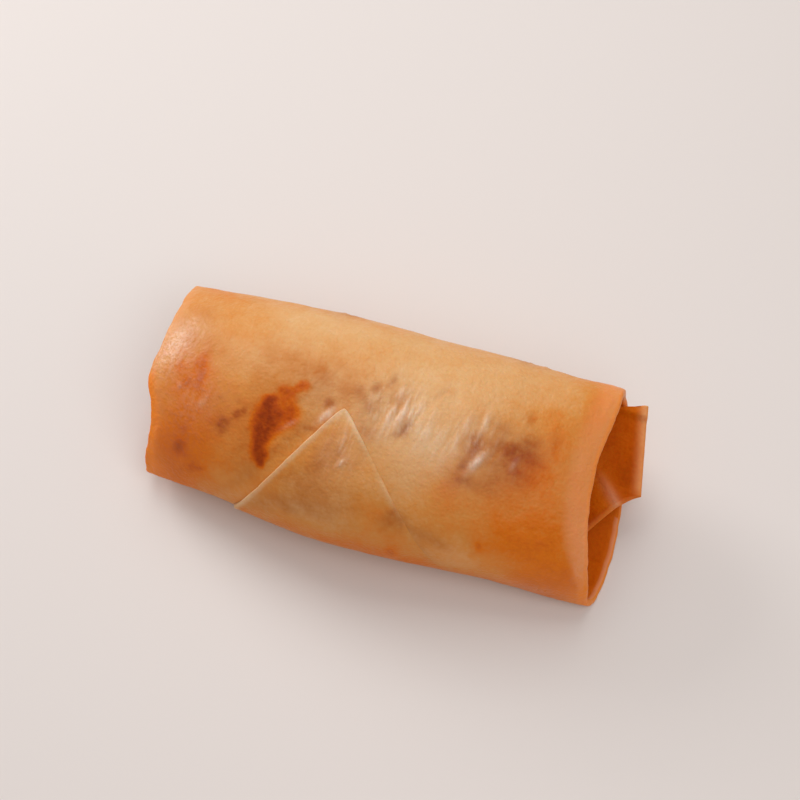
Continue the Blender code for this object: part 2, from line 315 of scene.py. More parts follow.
def outward(s, angle):
    """Unit normals of the wrapper's drawn form."""
    reach = 0.002
    along = wrapper(s + reach, angle) - wrapper(s - reach, angle)
    around = wrapper(s, angle + reach) - wrapper(s, angle - reach)
    normals = np.cross(along, around)
    return normals / np.linalg.norm(normals, axis=-1, keepdims=True)


def kept_below(values, limit, ease=0.15):
    """The values, bent over softly so that none passes the limit."""
    return limit - ease * np.logaddexp(0, (limit - values) / ease)


def crowded(even, much):
    """Even numbers from -1 to 1, moved toward both ends."""
    return even + much * (np.sin(even * math.pi / 2) - even)


angles = SEAM + 2 * math.pi * np.arange(AROUND) / AROUND
stations = crowded(np.linspace(-1, 1, STATIONS), CROWDING)
grid_s, grid_angle = np.meshgrid(stations, angles, indexing="ij")
drawn = wrapper(grid_s, grid_angle)
outside = drawn + outward(grid_s, grid_angle) * relief(drawn, grid_angle)[..., None]
fray = LIP_FRAY * (0.5 + 0.5 * field(drawn, FRAY_SIZE, 2, offset=17.0))
outside[..., 0] -= np.sign(grid_s) * fray * np.abs(grid_s) ** FRAY_POWER
outside[..., 1] = kept_below(outside[..., 1], highest.y / MM)
outside[..., 2] = np.maximum(kept_below(outside[..., 2], highest.z / MM), 0)


def crease_line_z(side, y):
    """Height of the straight line between an end's two corners."""
    end = RIGHT if side > 0 else LEFT
    share = (y - (AXIS_Y - end["front"])) / (end["front"] + end["back"])
    return end["front_z"] + (end["back_z"] - end["front_z"]) * share


def drawn_in(side, points, width, height):
    """Lip points moved toward the line between the corners, to these shares of the lens."""
    y = AXIS_Y + (points[:, 1] - AXIS_Y) * width
    z = crease_line_z(side, y) + (points[:, 2] - crease_line_z(side, points[:, 1])) * height
    return np.stack([points[:, 0], y, z], -1)


def end_rings(side, lip):
    """The rings from a lip's outer edge round into the mouth and over its folded-in floor."""
    rings = []
    for i in range(1, LIP_RINGS + 1):
        turn = math.pi * i / LIP_RINGS
        share = 1 - LIP_SHARE * (1 - math.cos(turn)) / 2
        ring = drawn_in(side, lip, share, share)
        ring[:, 0] += side * LIP_ROUND * math.sin(turn)
        rings.append(ring)
    at_lip = 1 - LIP_SHARE
    for i in range(1, MOUTH_RINGS + 1):
        deep = i / MOUTH_RINGS
        width = at_lip + (FLOOR_WIDTH - at_lip) * deep
        height = at_lip + (FLOOR_HEIGHT - at_lip) * deep
        ring = drawn_in(side, lip, width, height)
        ring[:, 0] += (side * FLOOR_X - lip[:, 0]) * deep
        ring[:, 2] += MOUTH_WAVE * smooth(deep, 0, 0.3) * field(ring, MOUTH_WAVE_SIZE, 2, offset=23.0)
        rings.append(ring)
    for i in range(1, FLOOR_RINGS):
        share = 1 - i / FLOOR_RINGS
        ring = drawn_in(side, lip, FLOOR_WIDTH * share, FLOOR_HEIGHT * share)
        ring[:, 0] = side * (FLOOR_X + FLOOR_SWELL * (1 - share ** 2))
        rings.append(ring)
    return rings


def loft(name, rings, middles):
    """A closed mesh object through equal rings in millimetres, with a fan to a middle point at each end."""
    count = len(rings[0])
    points = np.concatenate([np.concatenate(rings), np.array(middles)]) * MM
    faces = []
    for k in range(len(rings) - 1):
        a, b = k * count, (k + 1) * count
        faces += [(b + i, b + (i + 1) % count, a + (i + 1) % count, a + i) for i in range(count)]
    last, tip = (len(rings) - 1) * count, len(rings) * count
    faces += [(i, (i + 1) % count, tip) for i in range(count)]
    faces += [(last + (i + 1) % count, last + i, tip + 1) for i in range(count)]
    mesh = bpy.data.meshes.new(name)
    mesh.from_pydata(points.tolist(), [], faces)
    mesh.shade_smooth()
    made = bpy.data.objects.new(name, mesh)
    bpy.context.scene.collection.objects.link(made)
    return made


def mark(piece, name, rings, at_middles):
    """Store a value for each point of a lofted piece, its middle points last, for its material to read."""
    values = np.append(np.ravel(rings), [at_middles, at_middles])
    piece.data.attributes.new(name, "FLOAT", "POINT").data.foreach_set("value", values)


# How the wrapper browned. 0 is pale dough, 0.4 golden, 0.6 orange-brown and 1 a dark scorch.
# The mouths and their floors are painted browner, as their shade.
EVEN_BROWN, SCORCH_BROWN, MOUTH_SHADED_BROWN, FLOOR_SHADED_BROWN = 0.38, 0.90, 0.74, 0.80
STRIP_PALER, WRINKLE_VALLEY_SHADE = 0.02, 0.35   # painted highlight, paler on the curled-up strip; painted shade, browner down between wrinkles
STRAY, FRECKLE_STRAY_SIZE, STAIN_STRAY_SIZE = 0.5, 2.4, 2.0     # how ragged the marks' edges are
BLOTCH, BLOTCH_SIZE = 0.16, 1.7           # how uneven a scorch is
# How much of a crease's or wrinkle's crest is pale, with a painted highlight, and how broken up it is.
CREASE_PALE, WRINKLE_PALE, BROKEN_UP, BROKEN_SIZE = 2.2, 0.46, 0.6, 0.7
STRIP_LOW, STRIP_MORE = 1.6, 3.0          # the width of the strip at the right lips, and how much it grows
# A scorched crescent with its lobe and spur, as (x, arc, half width) along each, and how dark each one is.
CRESCENT = (
    (-22.6, 27.4, 1.5), (-23.1, 25.9, 2.2), (-23.0, 23.2, 2.8), (-22.7, 20.7, 2.5), (-22.8, 17.9, 1.8),
    (-22.2, 15.4, 1.7), (-21.7, 14.2, 1.2),
)
LOBE = ((-21.4, 22.4, 2.6), (-21.0, 24.8, 3.0), (-18.6, 25.2, 2.5))
SPUR = ((-19.6, 26.6, 2.2), (-20.4, 29.2, 1.9), (-18.9, 30.2, 1.0), (-17.4, 31.4, 1.2))
SCORCHES = ((CRESCENT, 1.0), (LOBE, 0.86), (SPUR, 0.60))
# Zones of the wrapper, as (x, arc), (half length, half width), slant, how much browner or paler.
ZONES = (
    ((6.0, 31.0), (14.0, 12.0), 0, -0.19), ((10.0, 26.0), (6.0, 6.0), 0, -0.10),
    ((-14.0, 47.0), (18.0, 6.5), 0, -0.15), ((16.0, 47.0), (16.0, 9.0), 0, -0.14),
    ((-41.0, 7.0), (12.0, 17.0), 0, 0.22), ((32.0, 15.0), (12.0, 15.0), 0, 0.26),
    ((40.0, 5.0), (7.0, 6.0), 0, 0.18), ((-39.2, 30.5), (5.0, 5.5), 0, 0.13),
    ((-24.0, 20.0), (8.0, 9.0), 0, 0.08), ((-20.0, 44.0), (14.0, 8.0), 0, -0.05),
    ((-27.0, 6.0), (5.0, 5.0), 0, -0.07), ((-14.0, 31.0), (4.0, 4.0), 0, -0.10),
    ((-22.0, 74.0), (12.0, 8.0), 0, 0.16), ((16.0, 80.0), (13.0, 8.0), 0, 0.14),
    ((34.0, 62.0), (6.0, 9.0), 0, 0.16), ((2.0, 60.0), (9.0, 6.0), 0, -0.10),
    ((-41.0, 60.0), (6.0, 8.0), 0, 0.10), ((-13.0, 37.0), (7.0, 3.5), -12, 0.01),
    ((31.0, 38.0), (4.0, 4.0), 0, 0.14), ((-4.0, 2.5), (9.0, 3.2), 0, 0.02),
    ((30.5, 4.6), (4.6, 1.8), -20, 0.02), ((-41.0, 36.0), (7.0, 12.0), 0, 0.02),
    ((21.5, 6.0), (6.5, 3.0), 0, -0.12), ((30.0, 29.0), (3.0, 4.0), 0, 0.05),
    ((-40.0, 13.0), (9.0, 12.0), 0, 0.06), ((-38.0, 25.0), (5.0, 6.0), 0, 0.06),
    ((-31.0, 34.0), (7.0, 6.0), 0, -0.05), ((2.0, 39.0), (5.0, 3.0), 0, -0.05),
    ((20.0, 3.6), (8.0, 2.8), 0, -0.10), ((27.0, 21.0), (6.0, 5.0), 0, -0.06),
    ((13.4, 20.0), (3.8, 7.0), 0, 0.16), ((25.5, 27.5), (4.5, 6.0), 0, 0.03),
    ((-43.5, 7.0), (4.0, 9.0), 0, 0.17), ((35.0, 1.0), (10.0, 4.0), 0, 0.10),
    ((36.8, 46.0), (3.0, 8.0), 0, 0.18), ((38.0, 33.0), (2.4, 6.0), 0, 0.06),
    ((37.0, 5.0), (5.0, 3.0), 0, -0.01), ((-4.0, 28.5), (4.0, 5.0), 0, -0.10),
    ((10.0, -2.0), (30.0, 3.0), 0, 0.12), ((28.5, 30.5), (3.5, 5.0), 0, 0.06),
    ((-36.0, 18.0), (5.0, 6.0), 0, 0.05),
)
# Small darker marks, as (x, arc), (half length, half width), slant, how much browner.
FRECKLES = (
    ((-38.9, 13.4), (1.3, 2.1), 0, 0.19), ((-34.6, 9.4), (1.8, 1.3), 0, 0.16),
    ((-38.7, 18.2), (0.8, 1.0), 0, 0.10), ((-42.4, 31.6), (1.2, 1.2), 0, 0.14),
    ((-38.2, 33.0), (1.2, 2.4), 0, 0.16), ((-37.4, 29.5), (1.1, 2.4), 0, 0.16),
    ((-40.4, 27.6), (0.9, 1.3), 0, 0.12), ((-35.0, 36.0), (0.9, 1.4), 0, 0.06),
    ((-30.4, 30.8), (0.6, 0.6), 0, 0.08), ((22.2, 9.2), (0.9, 1.3), 0, 0.18),
    ((21.2, 6.6), (0.9, 0.9), 0, 0.13), ((6.2, 2.4), (1.0, 1.7), 0, 0.16),
    ((-16.2, 34.6), (0.8, 0.8), 0, 0.08), ((-14.9, 35.4), (0.7, 0.7), 0, 0.08),
    ((29.6, 41.2), (1.6, 0.7), 20, 0.08), ((-12.0, 63.0), (1.3, 1.8), 0, 0.24),
    ((8.0, 72.0), (1.0, 1.4), 0, 0.18), ((-34.0, 62.0), (1.2, 2.0), 0, 0.20),
    ((-31.5, 58.5), (0.9, 1.0), 0, 0.16), ((30.5, 64.0), (1.8, 1.2), 20, 0.20),
    ((-30.0, 82.0), (1.3, 1.0), 0, 0.18), ((24.0, 74.0), (1.0, 1.2), 0, 0.18),
    ((-3.0, 88.0), (1.6, 1.0), 0, 0.18), ((25.4, 38.4), (0.9, 1.2), 0, 0.10),
    ((31.2, 34.6), (0.8, 1.6), 0, 0.08), ((-23.5, 32.2), (0.5, 0.5), 0, 0.08),
)
# Grey smudges where the filling's damp shows through, a long grey one darkening a line just outside the
# flap's left edge, and brown ones where its sauce has soaked in.
SMUDGES = (
    ((-31.0, 20.4), (1.2, 1.7), 0, 1.30), ((-28.7, 23.0), (0.8, 1.1), 0, 0.95),
    ((-27.4, 24.2), (0.6, 0.9), 0, 0.70), ((-32.6, 25.8), (0.8, 0.6), 0, 0.40),
    ((-29.0, 26.0), (0.7, 0.7), 0, 0.45), ((-26.8, 28.8), (0.9, 0.7), 0, 0.30),
    ((-11.5, 29.4), (1.0, 1.0), 0, 0.75), ((-14.6, 23.6), (2.6, 0.8), 0, 0.50),
    ((-13.0, 33.0), (7.0, 5.0), 0, 0.48), ((-7.2, 33.2), (1.5, 0.8), -60, 0.35),
    ((-4.2, 34.4), (1.4, 0.8), 84, 0.62), ((-1.6, 37.0), (1.5, 0.8), 68, 0.62),
    ((-3.2, 32.2), (1.2, 0.7), 80, 0.35), ((-4.6, 30.6), (1.8, 1.0), -50, 0.40),
    ((3.2, 28.1), (2.0, 0.9), 56, 0.45), ((1.0, 33.5), (3.5, 3.5), 0, 0.38),
    ((8.2, 37.4), (2.2, 0.8), 60, 0.35), ((-3.0, 25.6), (2.5, 1.6), 0, 0.30),
    ((-43.0, 40.0), (5.0, 6.5), 0, 0.38), ((-24.0, 36.0), (8.0, 5.0), 0, 0.26),
    ((-20.5, 28.0), (7.5, 5.5), 0, 0.36), ((-25.0, 18.0), (3.5, 8.0), 0, 0.42),
    ((-38.5, 33.5), (5.0, 4.5), 0, 0.28), ((-33.0, 21.0), (5.0, 5.0), 0, 0.28),
    # The long slanting smudge darkens a line just outside the flap's left edge.
    ((-19.6, 17.4), (13.0, 1.3), 54, 0.45), ((-4.0, 28.5), (4.0, 5.0), 0, 0.32),
    ((6.2, 10.4), (2.2, 1.9), -30, 0.50), ((9.8, 5.6), (3.2, 1.6), -20, 0.30),
)
SOAKED = (
    ((24.4, 31.4), (3.0, 2.6), 0, 0.70), ((21.6, 26.0), (2.6, 2.4), 0, 0.25),
    ((25.6, 26.6), (3.0, 2.6), 0, 0.42), ((20.6, 31.4), (2.4, 2.6), 0, 0.20),
    ((16.2, 29.4), (1.4, 3.0), 0, 0.75), ((26.0, 32.2), (2.2, 1.8), 0, 0.50),
    ((15.4, 24.6), (1.4, 1.6), 0, 0.45), ((16.2, 21.6), (2.0, 1.0), 0, 0.60),
    ((14.2, 21.0), (2.4, 2.4), 0, 0.20), ((20.6, 22.4), (3.0, 1.8), 0, 0.25),
    ((26.8, 34.6), (2.0, 1.6), 0, 0.40), ((28.8, 31.0), (1.8, 2.6), 0, 0.40),
    ((25.0, 38.0), (1.2, 1.4), 0, 0.30), ((30.6, 36.0), (1.2, 2.2), 0, 0.25),
    ((19.6, 34.6), (2.2, 1.2), 0, 0.25), ((30.5, 4.6), (4.6, 1.8), -20, 0.12),
    ((3.4, 28.2), (2.1, 1.0), 50, 0.80), ((6.6, 9.8), (2.6, 1.7), -40, 0.32),
    ((11.0, 8.8), (3.4, 1.9), -12, 0.32), ((15.2, 7.8), (2.0, 1.3), -30, 0.28),
    ((11.0, 4.6), (3.2, 1.0), -42, 0.28), ((-16.0, 56.0), (5.0, 4.0), 0, 0.35),
    ((21.0, 57.0), (3.0, 4.0), 0, 0.40), ((20.6, 27.5), (7.0, 6.5), 0, 0.30),
    ((21.0, 28.5), (4.0, 3.0), 0, 0.12),
)
# Where a glow of light through thin dough is painted.
GLOWING = (
    ((39.5, 3.0), (7.0, 6.0), 0, 0.50), ((43.5, 2.0), (3.5, 4.5), 0, 0.60),
    ((-43.5, 6.0), (5.0, 9.0), 0, 0.95), ((33.0, 9.0), (10.0, 8.0), 0, 0.18),
    ((22.0, 4.5), (10.0, 4.0), 0, 0.32), ((-24.0, 5.0), (8.0, 4.0), 0, 0.32),
)
# Where a film of oil is left: it is glossier there, and pinkish-white glints of it are painted.
OILY_AND_GLINTING = (
    ((-45.6, 35.8), (3.4, 6.5), -12, 1.65), ((-39.0, 27.0), (8.5, 11.0), 0, 0.46),
    ((3.0, 30.0), (8.0, 5.5), 0, 0.45), ((15.0, 31.0), (4.0, 5.0), 0, 0.35),
    ((-8.0, 21.0), (4.0, 6.0), 0, 0.35), ((10.0, 24.0), (7.0, 6.0), 0, 0.35),
    ((34.5, 0.8), (9.0, 2.4), 0, 0.65), ((41.6, 13.0), (1.7, 8.0), 0, 0.55),
)


def stroke(x, arc, route):
    """A soft-edged stroke along a route of (x, arc, half width): 1 inside it, fading to 0 outside."""
    covered = np.zeros_like(x)
    for (x0, arc0, wide0), (x1, arc1, wide1) in zip(route, route[1:]):
        go_x, go_arc = x1 - x0, arc1 - arc0
        along = ((x - x0) * go_x + (arc - arc0) * go_arc) / (go_x ** 2 + go_arc ** 2)
        along = np.clip(along, 0, 1)
        apart = np.hypot(x - x0 - go_x * along, arc - arc0 - go_arc * along)
        covered = np.maximum(covered, 1 - smooth(apart / (wide0 + (wide1 - wide0) * along), 0.30, 1.40))
    return covered


def strayed(x, arc, much, size):
    """The same places moved a little by noise, so that what is drawn there has a ragged edge."""
    return (x + much * sheet_field(x, arc, size, 3, offset=41.0),
            arc + much * sheet_field(x, arc, size, 3, offset=57.0))


def by_lips(x, arc):
    """1 on the strip before the right lips, which curls up and is thin. It is narrow near the corner."""
    width = STRIP_LOW + STRIP_MORE * smooth(arc, 4, 20)
    return 1 - smooth((lip_x(1, angle_of(arc)) - x) / width, 0.35, 1.25)


def browning(x, arc):
    """How brown the wrapper is at (x, arc). Shade is painted browner between wrinkles, a highlight paler
    on the curled-up strip, and it is blotchy where scorched.
    """
    brown = EVEN_BROWN + patches(x, arc, ZONES) - STRIP_PALER * by_lips(x, arc)
    near_x, near_arc = strayed(x, arc, STRAY, FRECKLE_STRAY_SIZE)
    brown += patches(near_x, near_arc, FRECKLES) + WRINKLE_VALLEY_SHADE * np.maximum(-streaks(x, arc), 0)
    scorch = np.max([much * stroke(near_x, near_arc, route) for route, much in SCORCHES], axis=0)
    scorch = scorch * (0.93 + BLOTCH * sheet_field(x, arc, BLOTCH_SIZE, 3, offset=83.0))
    return np.maximum(brown, brown + (SCORCH_BROWN - brown) * scorch)


def crests(x, arc):
    """How far (x, arc) is up on a crease, from 0 to about 1. The dough is paler there, with a painted
    highlight.
    """
    raised = [crease for crease in CREASES if crease[-1] > 0]
    ragged = 0.85 + BROKEN_UP * sheet_field(x, arc, BROKEN_SIZE, 2, offset=71.0)
    return CREASE_PALE * patches(x, arc, raised) * ragged + WRINKLE_PALE * np.maximum(streaks(x, arc), 0)


left_rings = end_rings(-1, outside[0])
right_rings = end_rings(1, outside[-1])
floor_middles = [(side * (FLOOR_X + FLOOR_SWELL), AXIS_Y, crease_line_z(side, AXIS_Y)) for side in (-1, 1)]
body = loft("rolled_wrapper", left_rings[::-1] + list(outside) + right_rings, floor_middles)

# Where each point of the body is on the sheet, for its marks. The rings inside a mouth are placed as the
# lip that they start from. Inside goes from 0 at the lips to 1 at the floor. From_lip is in millimetres.
LIPS_X = 45.0                             # about how far the lips are from the middle
end_count = len(left_rings)
depth = np.arange(1, end_count + 1) / end_count
left_x = np.tile(drawn[0, :, 0], (end_count, 1))
right_x = np.tile(drawn[-1, :, 0], (end_count, 1))
sheet_x = np.concatenate([left_x, drawn[..., 0], right_x])
sheet_arc = np.tile(arc_of(angles), (len(sheet_x), 1))
inside = np.concatenate([depth[::-1], 0 * stations, depth])[:, None] + 0 * sheet_x
from_lip = (1 - np.abs(stations)) * LIPS_X
from_lip = np.concatenate([0 * depth, from_lip, 0 * depth])[:, None] + 0 * sheet_x
on_left, on_right = sheet_x < 0, sheet_x > 0
outer, in_mouth = 1 - smooth(inside, 0, 0.2), smooth(inside, 0.1, 0.3)

# The lips' thin edges get a painted glow of light through them and painted pale highlights: at the left a
# broad one that fades out toward the crest, and at the right a fine one, a painted sheen on the strip that
# curls up, and a painted highlight and glow on the crease inside the lower lip.
LEFT_RIM, LEFT_GLOW, LEFT_GLOW_WIDTH, LEFT_LIP_HIGHLIGHT, LEFT_LIP_HIGHLIGHT_WIDTH = 1.2, 0.4, 3.0, 0.13, 1.5
RIGHT_RIM, RIGHT_RIM_WIDTH, RIGHT_LIP_HIGHLIGHT, RIGHT_LIP_HIGHLIGHT_WIDTH = 0.4, 0.3, 0.30, 0.35
STRIP_GLOW, STRIP_OIL_AND_SHEEN, STRIP_SHEEN, STRIP_SHEEN_LOW = 0.60, 0.3, 0.17, 0.10
LIP_CREASE, LIP_CREASE_DEPTH, LIP_CREASE_WIDTH, CREASE_GLOW = 0.50, 0.222, 0.015, 1.2
curled = by_lips(sheet_x, sheet_arc)
low_down = (1 - smooth(sheet_arc, 20, 34)) * on_right
lip_crease = LIP_CREASE * fading(inside - LIP_CREASE_DEPTH, LIP_CREASE_WIDTH)
lip_crease = lip_crease * (1 - smooth(sheet_arc, -4, 4)) * on_right
# A glow of light through thin dough is painted along the lips, on the strip, in the lower lip's crease and
# in the glowing places.
left_painted_glow = fading(from_lip, LEFT_RIM) + LEFT_GLOW * fading(from_lip, LEFT_GLOW_WIDTH)
left_painted_glow = left_painted_glow * (1 - 0.85 * smooth(sheet_arc, 27, 33)) * on_left
right_painted_glow = RIGHT_RIM * fading(from_lip, RIGHT_RIM_WIDTH) + STRIP_GLOW * curled + CREASE_GLOW * lip_crease
painted_glow = left_painted_glow + right_painted_glow * on_right + patches(sheet_x, sheet_arc, GLOWING) * outer
# Pale crests with painted highlights, a painted sheen on the right strip and painted highlights along both
# lips.
pale_and_highlit = crests(sheet_x, sheet_arc) + (STRIP_SHEEN + STRIP_SHEEN_LOW * low_down) * curled
pale_and_highlit += RIGHT_LIP_HIGHLIGHT * low_down * fading(from_lip, RIGHT_LIP_HIGHLIGHT_WIDTH)
pale_and_highlit += LEFT_LIP_HIGHLIGHT * on_left * fading(from_lip, LEFT_LIP_HIGHLIGHT_WIDTH)
brown = browning(sheet_x, sheet_arc)
near_x, near_arc = strayed(sheet_x, sheet_arc, STRAY, STAIN_STRAY_SIZE)
# Inside a mouth the browning rises toward the painted shade of the mouth.
mark(body, "browning", brown + (MOUTH_SHADED_BROWN - brown) * in_mouth, FLOOR_SHADED_BROWN)
mark(body, "damp", patches(near_x, near_arc, SMUDGES) * outer, 0.0)
mark(body, "sauce", patches(near_x, near_arc, SOAKED) * outer, 0.0)
mark(body, "oil_and_glint", (patches(sheet_x, sheet_arc, OILY_AND_GLINTING) + STRIP_OIL_AND_SHEEN * curled) * outer, 0.0)
mark(body, "crest", pale_and_highlit * outer + lip_crease, 0.0)
mark(body, "edge", painted_glow * (1 - in_mouth), 0.0)

# The faces past the lips' rounded edge, and the fans in the floors, are of the inner dough.
past_lip = (inside[:-1] + inside[1:]) / 2 > (LIP_RINGS + 0.2) / end_count
inner_faces = np.append(np.ravel(past_lip), np.ones(2 * AROUND))
body.data.polygons.foreach_set("material_index", inner_faces.astype(int))

# Wheat dough fried in oil: thin, dry and crisp, with a film of oil. It is matt to satin, mottled from pale
# tan to orange-brown at several scales, and covered with tiny blisters. A glow of light through thin edges,
# glints of oil and highlights on crests are painted into its colour.
CRUST_COLOURS = ((0.00, "#E8C496"), (0.20, "#E1AE75"), (0.40, "#DC9246"), (0.60, "#DE7408"),
                 (0.76, "#C65808"), (0.90, "#A03E00"), (1.00, "#8A3200"))
INNER_COLOURS = ((0.00, "#EEAC66"), (0.20, "#EA9A4E"), (0.40, "#E2852E"), (0.60, "#D46C0C"),
                 (0.76, "#C65A00"), (0.90, "#AA4600"), (1.00, "#8C3400"))
DAMP_TINT, SAUCE_TINT = "#CCAC94", "#BC8A4C"
# Painted light: a glint of oil, a pale crest highlight and an orange glow through thin dough.
PAINTED_OIL_GLINT, PALE_CREST_HIGHLIGHT, PAINTED_GLOW_TINT = "#F2CDB4", "#F8E4D2", "#F88C2C"
# What varies over the crust, as its size in millimetres, its detail, and how far it shifts the browning.
MOTTLE, CLOUD, SPECK = (14.0, 2, 0.18), (3.2, 3, 0.18), (0.8, 2, 0.12)
PIMPLE, FINE_RELIEF = 0.55, 0.12          # the size of the tiny blisters, and the fine relief's height
CLOUD_RELIEF, SPECK_RELIEF, PIMPLE_RELIEF = 1.4, 0.7, -0.7      # shares of it; a pimple is highest inside
NOISE_LOW, NOISE_HIGH = 0.3, 0.7          # between which the noise nearly always is
STAIN_LEAST, STAIN_MOST = 0.6, 1.25       # how broken a stain is
GLINT_LEAST, GLINT_MOST, PIMPLE_GLINT = 0.08, 0.34, 0.08        # how bright the painted glints of oil are, brighter on a pimple
CREST_COVER, LIGHT_COVER = 0.62, 0.7      # how far painted crest highlights and the painted glow hide the rest
SMOOTHER, ROUGHER, OIL_GLOSS = -0.06, 0.08, -0.14               # how clouds and oil change the roughness
LIGHT_IN, LIGHT_REACH = 0.18, 1.4         # how much light goes into the dough, and how far in millimetres
LIGHT_REACH_RGB = (1.0, 0.36, 0.14)       # red light goes furthest
OIL_IOR, OIL_FILM, FILM_ROUGHNESS = 1.46, 0.3, 0.28


def add(tree, kind, inputs=None, out=0, **settings):
    """Add a shader node with its settings, set or link its inputs, and return one of its outputs."""
    made = tree.nodes.new("ShaderNode" + kind)
    for name, value in settings.items():
        setattr(made, name, value)
    for key, value in (inputs or {}).items():
        if isinstance(value, bpy.types.NodeSocket):
            tree.links.new(value, made.inputs[key])
        else:
            made.inputs[key].default_value = value
    return made.outputs[out]


def fried_dough(name, colours, roughness, specular):
    """Fried wheat dough, which reads browning, stains, oil, creases and painted light from the piece's own
    marks.
    """
    made, tree, shader = material(name)
    place = add(tree, "TexCoord", out="Object")
    mottle, cloud, speck = [
        add(tree, "TexNoise", {"Vector": place, "Scale": 1 / (size * MM), "Detail": detail}, out="Fac")
        for size, detail, much in (MOTTLE, CLOUD, SPECK)]
    pimple = add(tree, "TexVoronoi", {"Vector": place, "Scale": 1 / (PIMPLE * MM)}, out="Distance",
                 feature="SMOOTH_F1")
    browned, damp, sauce, oil_and_glint, crest, edge = [
        add(tree, "Attribute", out="Fac", attribute_name=mark_name)
        for mark_name in ("browning", "damp", "sauce", "oil_and_glint", "crest", "edge")]

    # Its browning, shifted by what varies over it so that the shifts come to nothing on the whole.
    for varied, (size, detail, much) in ((mottle, MOTTLE), (cloud, CLOUD), (speck, SPECK)):
        browned = add(tree, "Math", {0: varied, 1: much, 2: browned}, operation="MULTIPLY_ADD")
    half_shift = (MOTTLE[2] + CLOUD[2] + SPECK[2]) / 2
    browned = add(tree, "Math", {0: browned, 1: half_shift}, operation="SUBTRACT")
    colour = add(tree, "ValToRGB", {"Fac": browned}, out="Color")
    elements = colour.node.color_ramp.elements
    elements.remove(elements[1])
    for at, hex_colour in colours:
        elements.new(at).color = linear(hex_colour)
    elements.remove(elements[0])

    # Stains with broken edges darken it. Painted glints of oil, pale crests with painted highlights and a
    # painted glow of light through thin dough cover it.
    broken = add(tree, "MapRange", {"Value": cloud, "From Min": NOISE_LOW, "From Max": NOISE_HIGH,
                                    "To Min": STAIN_LEAST, "To Max": STAIN_MOST})
    domed = add(tree, "MapRange", {"Value": pimple, "From Min": 0.36, "From Max": 0.08})
    grainy = add(tree, "MapRange", {"Value": speck, "From Min": 0.36, "From Max": 0.64,
                                    "To Min": GLINT_LEAST, "To Max": GLINT_MOST})
    glinting = add(tree, "Math", {0: domed, 1: PIMPLE_GLINT, 2: grainy}, operation="MULTIPLY_ADD")
    for much, share, tint, blend in (
            (damp, broken, DAMP_TINT, "MULTIPLY"), (sauce, broken, SAUCE_TINT, "MULTIPLY"),
            (oil_and_glint, glinting, PAINTED_OIL_GLINT, "MIX"), (crest, CREST_COVER, PALE_CREST_HIGHLIGHT, "MIX"),
            (edge, LIGHT_COVER, PAINTED_GLOW_TINT, "MIX")):
        factor = add(tree, "Math", {0: much, 1: share}, operation="MULTIPLY")
        colour = add(tree, "Mix", {"Factor": factor, 6: colour, 7: linear(tint)}, out=2,
                     data_type="RGBA", blend_type=blend)
    tree.links.new(colour, shader.inputs["Base Color"])

    # It is duller in places and glossier under oil. Pimples, specks and clouds make its fine relief.
    dull = add(tree, "MapRange", {"Value": cloud, "From Min": NOISE_LOW, "From Max": NOISE_HIGH,
                                  "To Min": roughness + SMOOTHER, "To Max": roughness + ROUGHER})
    dull = add(tree, "Math", {0: oil_and_glint, 1: OIL_GLOSS, 2: dull}, operation="MULTIPLY_ADD")
    tree.links.new(dull, shader.inputs["Roughness"])
    height = 0.0
    for varied, much in ((cloud, CLOUD_RELIEF), (speck, SPECK_RELIEF), (pimple, PIMPLE_RELIEF)):
        height = add(tree, "Math", {0: varied, 1: much, 2: height}, operation="MULTIPLY_ADD")
    bump = add(tree, "Bump", {"Height": height, "Distance": FINE_RELIEF * MM, "Strength": 1.0})
    tree.links.new(bump, shader.inputs["Normal"])
    for socket, value in (
            ("IOR", OIL_IOR), ("Specular IOR Level", specular),
            ("Subsurface Weight", LIGHT_IN), ("Subsurface Radius", LIGHT_REACH_RGB),
            ("Subsurface Scale", LIGHT_REACH * MM),
            ("Coat Weight", OIL_FILM * specular), ("Coat Roughness", FILM_ROUGHNESS)):
        shader.inputs[socket].default_value = value
    return made


crust = fried_dough("fried_wheat_crust", CRUST_COLOURS, roughness=0.40, specular=0.18)
# The same dough inside the mouths, less crisp and soaked with oil: deep orange, and duller. The browner
# values it gets deep in a mouth are painted shade.
inner_dough = fried_dough("oil_soaked_inner_dough", INNER_COLOURS, roughness=0.55, specular=0.04)
body.data.materials.append(crust)
body.data.materials.append(inner_dough)
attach(body, "root")
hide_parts("spring_roll")

# ---- THE FLAP ------------------------------------------------------------------------------------------
# The last corner of the wrapper, laid up over the front and stuck down with flour paste before frying. It
# is one thickness of dough with a crisp cut edge that lifts a little, and it runs on under the roll.

APEX_X, APEX_ARC = -8.6, 28.8
LEFT_SPREAD, LEFT_BEND = 0.66, 0.0018     # how far an edge goes out as it runs down, and how it bends in
RIGHT_SPREAD, RIGHT_BEND = 0.95, 0.0047
LEFT_TURN_ARC = 1.0                       # from here the left edge runs straight down
TIP_WIDTH, TIP_LENGTH = 0.55, 1.4         # the tip is worn round over this half width and length
DOUGH = 0.50                              # one thickness of it, fried
EDGE_LIFT, EDGE_REACH, CURL_SIZE = 0.12, 0.9, 9.0        # the edge lifts and lies flat by turns
EDGE_WANDER, WANDER_SIZE = 0.16, 4.0                     # how far a cut edge wanders from its line
FACE_UNDER, FLAP_SUNK, STUCK_UNDER = 0.25, 0.7, 0.3      # how far its underside goes into the wrapper
FLAP_END_ARC, FLAP_TAIL, TAIL_UNDER = -13.0, 9.0, 0.3    # under the roll it thins out into the wrapper
STUCK_WIDTH, PRESSED_FLAT = 5.0, 0.96                    # its right side is stuck down and nearly level
FLAP_ROWS, FLAP_COLUMNS, EDGE_STEPS = 150, 64, 5
